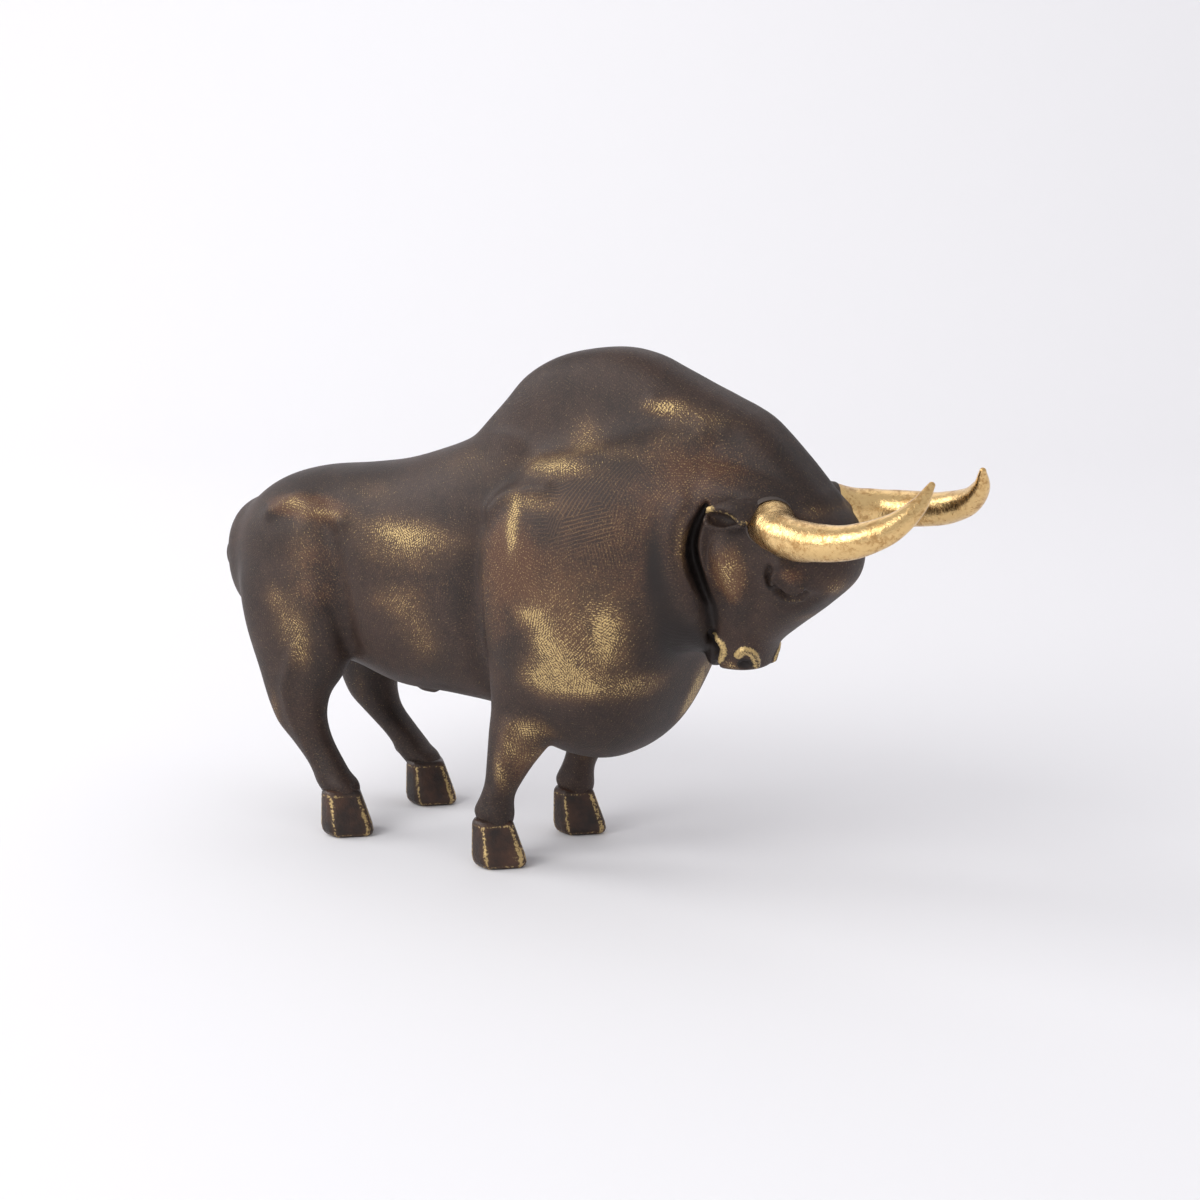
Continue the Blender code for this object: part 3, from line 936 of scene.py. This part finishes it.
def patina(finish):
    """Dark bronze paint, greyer and redder in places, with gold rubbed on in short strokes. Umber is
    painted into the hollows and grooves as shade, and a lighter brown along the shoulder's ridge and
    behind the shoulder as sheen.
    """
    pot = Pot("bronze_patina")
    place = pot.place()
    layers = ("gilt_and_sheen", "rust", "painted_shade", "line", "scratch_and_sheen")
    gilt_and_sheen, rust, painted_shade, line, scratch_and_sheen = (pot.reads(name) for name in layers)
    fine = hatching(pot, place, 150.0, 0.0010, (0.0, 0.0, 0.0))
    long = hatching(pot, place, 60.0, 0.0014, (0.31, 0.17, 0.23))
    cross = hatching(pot, place, 44.0, 0.0016, (0.13, 0.37, 0.41))
    broad = pot.noise(place, 24.0, 3.0, 0.6)
    cloudy = pot.noise(place, 75.0, 4.0, 0.65)
    speckle = pot.noise(place, 1400.0, 2.0, 0.6).between(0.3, 0.7)
    grain = pot.noise(place, 2300.0, 1.0, 0.5).between(0.25, 0.75)
    height = fine * 0.36 + long * 0.3 + speckle * 0.5 + grain * 0.4 - 0.28

    mottle = pot.noise(place, 210.0, 3.0, 0.7).between(0.3, 0.7)
    lighter = broad.between(0.35, 0.65) * 0.4 + speckle * 0.35 + mottle * 0.25
    base = pot.blend(lighter, finish.umber_and_painted_shade, finish.bronze)
    warm = (rust * 0.8 + cloudy * 0.9 + speckle * 0.25 - 0.85).between(0.0, 0.6)
    base = pot.blend(warm * 0.85, base, finish.rust)
    spread = gilt_and_sheen * (cloudy * 1.3 + 0.4)
    amount = pot.math("MINIMUM", spread, 1.0)
    # Brown haze round the gold; along the shoulder's ridge and behind the shoulder it is a painted
    # sheen.
    haze_and_sheen = amount.between(0.0, 0.5) * (cloudy * 0.45 + speckle * 0.35) + amount * 0.2
    base = pot.blend(haze_and_sheen, base, finish.rubbed_brown_and_sheen)
    # The tool's marks in lighter brown; along the shoulder's ridge they are also a painted sheen.
    marks_and_sheen = (cross + grain * 0.2 + cloudy * 0.5 - 1.05).between(0.0, 0.2) * scratch_and_sheen
    base = pot.blend(marks_and_sheen * 0.6, base, finish.rubbed_brown_and_sheen)
    rubbed = (height + amount * 0.72 - 0.97).between(0.0, 0.55)
    dust = (height - 0.64).between(0.0, 0.5) * (warm * 0.35 + broad * 0.16)
    mask = pot.math("MAXIMUM", rubbed, dust)
    colour = pot.blend(mask, base, finish.rubbed_gold)
    # Painted shade: umber laid over the hollows, the grooves and the dark fine strokes.
    colour = pot.blend(painted_shade.between(0.3, 0.9), colour, finish.umber_and_painted_shade)
    lines = (line + cloudy * 0.7 + speckle * 0.4 - 0.95).between(0.0, 0.5) * 0.95
    colour = pot.blend(lines, colour, finish.rubbed_gold)
    shine = pot.math("MAXIMUM", mask, lines)
    relief = height * (gilt_and_sheen.between(0.05, 0.7) * 0.9 + 0.35) + cloudy * 0.5 + marks_and_sheen * 0.8
    bump = pot.node("ShaderNodeBump", None, {"Strength": 0.42, "Distance": 0.0005, "Height": relief})
    pot.fill(
        pot.shader,
        {
            "Base Color": colour,
            "Metallic": shine * 0.55,
            "Roughness": 0.53 - shine * 0.1 - broad * 0.06,
            "Specular IOR Level": 0.24,
            "Normal": bump,
        },
    )
    return pot.material


def hoof_patina(finish):
    """A browner, shinier patina on the hooves, with gold rubbed unevenly along their edges."""
    pot = Pot("hoof_patina")
    place = pot.place()
    edge = pot.reads("edge")
    cloudy = pot.noise(place, 90.0, 3.0, 0.6)
    speckle = pot.noise(place, 950.0, 2.0, 0.65).between(0.3, 0.7)
    base = pot.blend(cloudy.between(0.3, 0.8) * 0.7, finish.umber_and_painted_shade, finish.rust)
    base = pot.blend(edge * 0.3, base, finish.rubbed_brown_and_sheen)
    mask = (edge * 1.15 + cloudy * 1.5 + speckle * 0.9 - 1.95).between(0.0, 0.55)
    relief = speckle + cloudy * 2.0
    bump = pot.node("ShaderNodeBump", None, {"Strength": 0.3, "Distance": 0.0004, "Height": relief})
    pot.fill(
        pot.shader,
        {
            "Base Color": pot.blend(mask * 0.8, base, finish.rubbed_gold),
            "Metallic": mask * 0.6,
            "Roughness": 0.42 - speckle * 0.1,
            "Specular IOR Level": 0.3,
            "Normal": bump,
        },
    )
    return pot.material


def gold_leaf(finish):
    """Gold leaf: bright, finely creased, with small worn spots."""
    pot = Pot("gold_leaf")
    place = pot.place()
    creases = pot.noise(place, 520.0, 4.0, 0.7, 0.6)
    crumple = pot.noise(place, 150.0, 3.0, 0.6)
    pits = pot.node("ShaderNodeTexVoronoi", None, {"Vector": place, "Scale": 620.0}, "Distance")
    worn = (crumple * 0.8 + creases - 0.83).between(0.0, 0.3)
    dots = (1 - pits.between(0.02, 0.16)) * crumple.between(0.45, 0.62)
    relief = creases * 1.1 + crumple * 0.8 - dots * 0.5
    bump = pot.node("ShaderNodeBump", None, {"Strength": 0.34, "Distance": 0.0006, "Height": relief})
    pot.fill(
        pot.shader,
        {
            "Base Color": pot.blend(worn * 0.7 + dots * 0.45, finish.leaf, finish.leaf_shade),
            "Metallic": 1.0,
            "Roughness": 0.21 + worn * 0.16,
            "Normal": bump,
        },
    )
    return pot.material


def dress(obj, material, slot, *nodes):
    """Paints a piece, and has it stand for the given nodes of the frame."""
    obj.data.materials.clear()
    obj.data.materials.append(material)
    smooth(obj.data)
    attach(obj, "root")
    if nodes:
        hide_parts(*nodes)


# Operators


class BULL_OT_cast_body(bpy.types.Operator):
    """Presses the bull's masses into one skin, models it and rubs it with gold"""

    bl_idname = "bull.cast_body"
    bl_label = "Cast the Body"

    def stroked(self, mesh, points, strokes, unit):
        """The points moved along the skin's normals by the strokes."""
        put_units(mesh, points, unit)
        normals = read(mesh.vertex_normals, "vector", 3)
        return points + normals * lines_near(folded(points), strokes)[:, None]

    def laid(self, points, strokes):
        """The strokes with their paths moved onto the skin."""
        near = folded(points)
        return [(on_skin(near, path), width, height) for path, width, height, *_ in strokes]

    def shade(self):
        """Strokes of painted shade along the bottoms of the grooves."""
        strokes = []
        for path, way, depth in GROOVES:
            rows = eased_rows(path, 2)
            for a, b in zip(rows, rows[1:]):
                sunk = [row[:3] + np.array(way) * 0.75 * depth * row[3] for row in (a, b)]
                strokes.append((sunk, 0.75 * (a[3] + 2.5), 0.8))
        return strokes

    def execute(self, context):
        shape = context.scene.bull_shape
        unit = shape.hump_height / HUMP
        body = mesh_object("bull_body", closed_masses(), unit)
        press = body.modifiers.new("press", "REMESH")
        press.mode = "VOXEL"
        press.voxel_size = shape.clay_grid
        settle(body)
        mesh = body.data
        edges = read(mesh.edges, "vertices", 2, np.int32)
        rounds = (4.4 * unit / shape.clay_grid) ** 2
        points = modelled(units_of(mesh, unit), edges, rounds)
        points = self.stroked(mesh, points, self.laid(points, BROAD_STROKES), unit)
        for groove in GROOVES:
            points = grooved(points, groove)
        for hollow in HOLLOWS:
            points = pressed(points, hollow)
        points = relax(points, edges, np.full(len(points), 0.4), 3)
        fine = self.laid(points, FINE_STROKES)
        points = self.stroked(mesh, points, fine, unit)
        put_units(mesh, points, unit)
        thin = body.modifiers.new("thin", "DECIMATE")
        thin.ratio = shape.body_faces / (2 * len(mesh.polygons))
        settle(body)
        places = units_of(body.data, unit)
        points = folded(places)
        kept = [(path, 0.9 * width, stroke[3]) for (path, width, _), stroke in zip(fine, FINE_STROKES)]
        gold = [stroke for stroke in kept if stroke[2] > 0]
        dark = [(path, width, -amount) for path, width, amount in kept if amount < 0]
        layers = {
            "gilt_and_sheen": patches_near(points, GILT_AND_SHEEN_PATCHES) + patches_near(places, GILT_PATCHES_LEFT),
            "line": patches_near(points, GOLD_TIPS) + lines_near(points, gold),
            # Painted shade: the dark patches, the fine strokes below 0 and the bottoms of the grooves.
            "painted_shade": patches_near(points, PAINTED_SHADE_PATCHES) + lines_near(points, dark + self.shade()),
            "scratch_and_sheen": patches_near(points, SCRATCHED_AND_SHEEN_PATCHES),
            "rust": patches_near(points, RUST_PATCHES),
        }
        for name, values in layers.items():
            attribute(body.data, name, values)
        dress(body, patina(context.scene.bull_finish), "bronze_patina", "body")
        return {"FINISHED"}


class BULL_OT_set_hooves(bpy.types.Operator):
    """Sets four bevelled hooves under the legs"""

    bl_idname = "bull.set_hooves"
    bl_label = "Set the Hooves"

    def hoof(self, x, y):
        """Eight flat sides between a sole and a smaller top, with the wear of their edges.

        The outline's corners are cut by averaging each point with its neighbours along the outline.
        The wear is a bell curve of the distance to an edge.
        """
        per_side = 14
        outline = np.array(SOLE, float)
        s = np.arange(per_side) / per_side
        ahead = np.roll(outline, -1, axis=0)
        flat = (outline[:, None] * (1 - s[:, None]) + ahead[:, None] * s[:, None]).reshape(-1, 2)
        length = np.linalg.norm(ahead - outline, axis=1)[:, None]
        near = (np.minimum(s, 1 - s)[None, :] * length).ravel()
        for _ in range(16):
            flat = (np.roll(flat, 1, axis=0) + 2 * flat + np.roll(flat, -1, axis=0)) / 4
        levels = np.array(HOOF_LEVELS, float)
        z = np.unique(np.concatenate([np.linspace(0, HOOF_HEIGHT, 36), levels[:, 0]]))
        share = np.interp(z, levels[:, 0], levels[:, 1])
        lean = np.interp(z, levels[:, 0], levels[:, 2])
        along = x + flat[:, 0] * share[:, None] - lean[:, None]
        aside = y + flat[:, 1] * share[:, None]
        rings = np.stack([along, aside, z[:, None] + 0 * along], -1)
        corner = 0.8 * np.exp(-((near / 2.4) ** 2)) + 0.25 * np.exp(-((near / 9) ** 2))
        level = sum(0.7 * np.exp(-(((z - high) / width) ** 2)) for high, width in WORN_LEVELS)
        edge = np.maximum(corner[None, :] * (1 - ramp(z, 38, 45))[:, None], level[:, None])
        return skin(rings), edge.ravel()

    def execute(self, context):
        unit = context.scene.bull_shape.hump_height / HUMP
        hooves = [self.hoof(x, y) for x in (-HOOF_STEP, HOOF_STEP) for y in (-HOOF_SPREAD, HOOF_SPREAD)]
        obj = mesh_object("hooves", [shell for shell, _ in hooves], unit)
        attribute(obj.data, "edge", np.concatenate([edge for _, edge in hooves]))
        dress(obj, hoof_patina(context.scene.bull_finish), "bronze_patina")
        return {"FINISHED"}


class BULL_OT_gild_horns(bpy.types.Operator):
    """Makes the two horns and the rims round their sockets"""

    bl_idname = "bull.gild_horns"
    bl_label = "Gild the Horns"

    def horn(self, side, radius):
        """Circles along a curve that leaves the socket straight, slightly uneven by slow waves."""
        rows = np.array([(*(MOUTH - HORN_WAY * ROOT_DEPTH), 1.0), *HORN])
        rows[:, 3] *= radius
        if side > 0:
            rows[1:, 2] += LEFT_HORN_LIFT * np.sin(np.linspace(0, math.pi, len(HORN))) ** 2
        rows = eased_rows(rows, 22)
        line = rows[:, :3] * (1, side, 1)
        around = 72
        angle = turns(around)
        s = np.linspace(0, 1, len(rows))[:, None]
        uneven = 0.012 * np.sin(2 * angle + 21 * s)
        uneven = uneven + 0.009 * np.sin(3 * angle - 34 * s + 1) + 0.006 * np.sin(61 * s)
        past = (line * (1, side, 1) - MOUTH) @ HORN_WAY
        flare = np.interp(past, *np.transpose(ROOT_FLARE)) * (s[:, 0] < 0.3)
        wide = rows[:, 3:4] * (1 + uneven + flare[:, None])
        return tipped(line[:, None] + spokes(line, around) * wide[..., None], 3)

    def rim(self, side, radius):
        """The rim's profile, for a horn of this radius, turned round the way the horn leaves."""
        out, far = columns(eased_rows(RIM, 5))
        line = np.array([MOUTH - HORN_WAY, MOUTH + HORN_WAY]) * (1, side, 1)
        spoke = spokes(line, RIM_AROUND)[0]
        middle = (MOUTH + HORN_WAY * out) * (1, side, 1)
        return middle[:, None] + spoke * (far * radius / RIM_HORN)[:, None]

    def execute(self, context):
        shape, finish = context.scene.bull_shape, context.scene.bull_finish
        unit = shape.hump_height / HUMP
        radius = shape.horn_root_radius / unit
        leaf = gold_leaf(finish)
        for side, name in ((-1, "right_horn"), (1, "left_horn")):
            horn = mesh_object("gilded_" + name, [skin(self.horn(side, radius))], unit)
            dress(horn, leaf, name + "_gold_leaf", name)
        rims = mesh_object("socket_rims", [skin(self.rim(side, radius)) for side in (-1, 1)], unit)
        # The lip's gold is a bell curve of the distance from the profile's highest place.
        out, far = eased_rows(RIM, 5).T
        wear = 0.8 * np.exp(-(((far - LIP) / 1.2) ** 2) - (out / 3) ** 2)
        attribute(rims.data, "line", np.tile(np.repeat(wear, RIM_AROUND), 2))
        for name in ("gilt_and_sheen", "rust", "painted_shade", "scratch_and_sheen"):
            attribute(rims.data, name, np.zeros(len(rims.data.vertices)))
        dress(rims, bpy.data.materials["bronze_patina"], "bronze_patina")
        return {"FINISHED"}


class BULL_OT_light_stage(bpy.types.Operator):
    """Lays a pale floor that rises into a backdrop, and sets the lights and the camera"""

    bl_idname = "bull.light_stage"
    bl_label = "Light the Stage"

    def backdrop(self, colour):
        """A level floor that turns up through a quarter circle into a wall."""
        turn = np.linspace(0, math.pi / 2, 24)
        back, radius, high, wide = 1.3, 1.2, 5.0, 12.0
        depth = np.concatenate([[-wide], back + radius * np.sin(turn), [back + radius]])
        height = np.concatenate([[0.0], radius * (1 - np.cos(turn)), [high]])
        azimuth = bpy.context.scene.bull_stage.azimuth
        c, s = math.cos(azimuth), math.sin(azimuth)
        x, y, z = np.broadcast_arrays(np.array([-wide, wide]), depth[:, None], height[:, None])
        points = np.stack([x * c - y * s, x * s + y * c, z], -1).reshape(-1, 3)
        i = np.arange(len(depth) - 1) * 2
        faces = np.stack([i, i + 1, i + 3, i + 2], 1)
        mesh = bpy.data.meshes.new("backdrop")
        mesh.from_pydata(points.tolist(), [], faces.tolist())
        smooth(mesh)
        pot = Pot("pale_paper")
        pot.fill(pot.shader, {"Base Color": (*colour, 1), "Roughness": 0.85, "Specular IOR Level": 0.2})
        mesh.materials.append(pot.material)
        linked("backdrop", mesh)

    def lamp(self, name, place, target, size, power):
        """A square soft light that looks at a target."""
        data = bpy.data.lights.new(name, "AREA")
        data.size = size
        data.energy = power
        self.look(linked(name, data), np.array(place), np.array(target))

    def look(self, obj, place, target):
        """Sets the object at a place with its -Z towards the target and its X level."""
        back = (place - target) / np.linalg.norm(place - target)
        right = np.cross((0, 0, 1), back)
        right /= np.linalg.norm(right)
        up = np.cross(back, right)
        turn = Matrix(np.stack([right, up, back], 1).tolist())
        obj.matrix_world = Matrix.LocRotScale(Vector(place), turn, None)

    def camera(self, stage):
        """Sets the camera back from the place it aims at, by the stage's two angles and distance."""
        azimuth, elevation = stage.azimuth, stage.elevation
        right = np.array([math.cos(azimuth), math.sin(azimuth), 0])
        level = np.array([math.sin(azimuth), -math.cos(azimuth), 0])
        back = level * math.cos(elevation) + (0, 0, math.sin(elevation))
        up = np.cross(back, right)
        aim = right * stage.aim_right + up * stage.aim_up + (STANCE_X, 0, 0)
        data = bpy.data.cameras.new("camera")
        data.lens = stage.lens
        data.sensor_width = 36
        data.clip_start = 0.05
        data.clip_end = 50
        obj = linked("camera", data)
        self.look(obj, aim + back * stage.distance, aim)
        bpy.context.scene.camera = obj

    def execute(self, context):
        stage = context.scene.bull_stage
        self.backdrop(stage.floor_colour)
        self.camera(stage)
        for lamp in LAMPS:
            self.lamp(*lamp)
        world = bpy.data.worlds.new("studio")
        world.use_nodes = True
        sky = world.node_tree.nodes["Background"]
        sky.inputs["Color"].default_value = (0.94, 0.94, 0.97, 1)
        sky.inputs["Strength"].default_value = 0.68
        context.scene.world = world
        context.scene.view_settings.view_transform = "Standard"
        return {"FINISHED"}


class BULL_PT_maker(bpy.types.Panel):
    """Lists the bull's operators and settings"""

    bl_label = "Rubbed Bronze Bull"
    bl_idname = "BULL_PT_maker"
    bl_space_type = "VIEW_3D"
    bl_region_type = "UI"
    bl_category = "Bull"

    def draw(self, context):
        for name in ("cast_body", "set_hooves", "gild_horns", "light_stage"):
            self.layout.operator("bull." + name)
        for group in (context.scene.bull_shape, context.scene.bull_finish, context.scene.bull_stage):
            box = self.layout.box()
            for key in group.__annotations__:
                box.prop(group, key)


CLASSES = (
    BullShape,
    BullFinish,
    BullStage,
    BULL_OT_cast_body,
    BULL_OT_set_hooves,
    BULL_OT_gild_horns,
    BULL_OT_light_stage,
    BULL_PT_maker,
)


def register():
    for cls in CLASSES:
        bpy.utils.register_class(cls)
    bpy.types.Scene.bull_shape = bpy.props.PointerProperty(type=BullShape)
    bpy.types.Scene.bull_finish = bpy.props.PointerProperty(type=BullFinish)
    bpy.types.Scene.bull_stage = bpy.props.PointerProperty(type=BullStage)


def unregister():
    del bpy.types.Scene.bull_shape
    del bpy.types.Scene.bull_finish
    del bpy.types.Scene.bull_stage
    for cls in reversed(CLASSES):
        bpy.utils.unregister_class(cls)


def main():
    register()
    bpy.ops.bull.light_stage()
    bpy.ops.bull.cast_body()
    bpy.ops.bull.set_hooves()
    bpy.ops.bull.gild_horns()


if __name__ == "__main__":
    main()
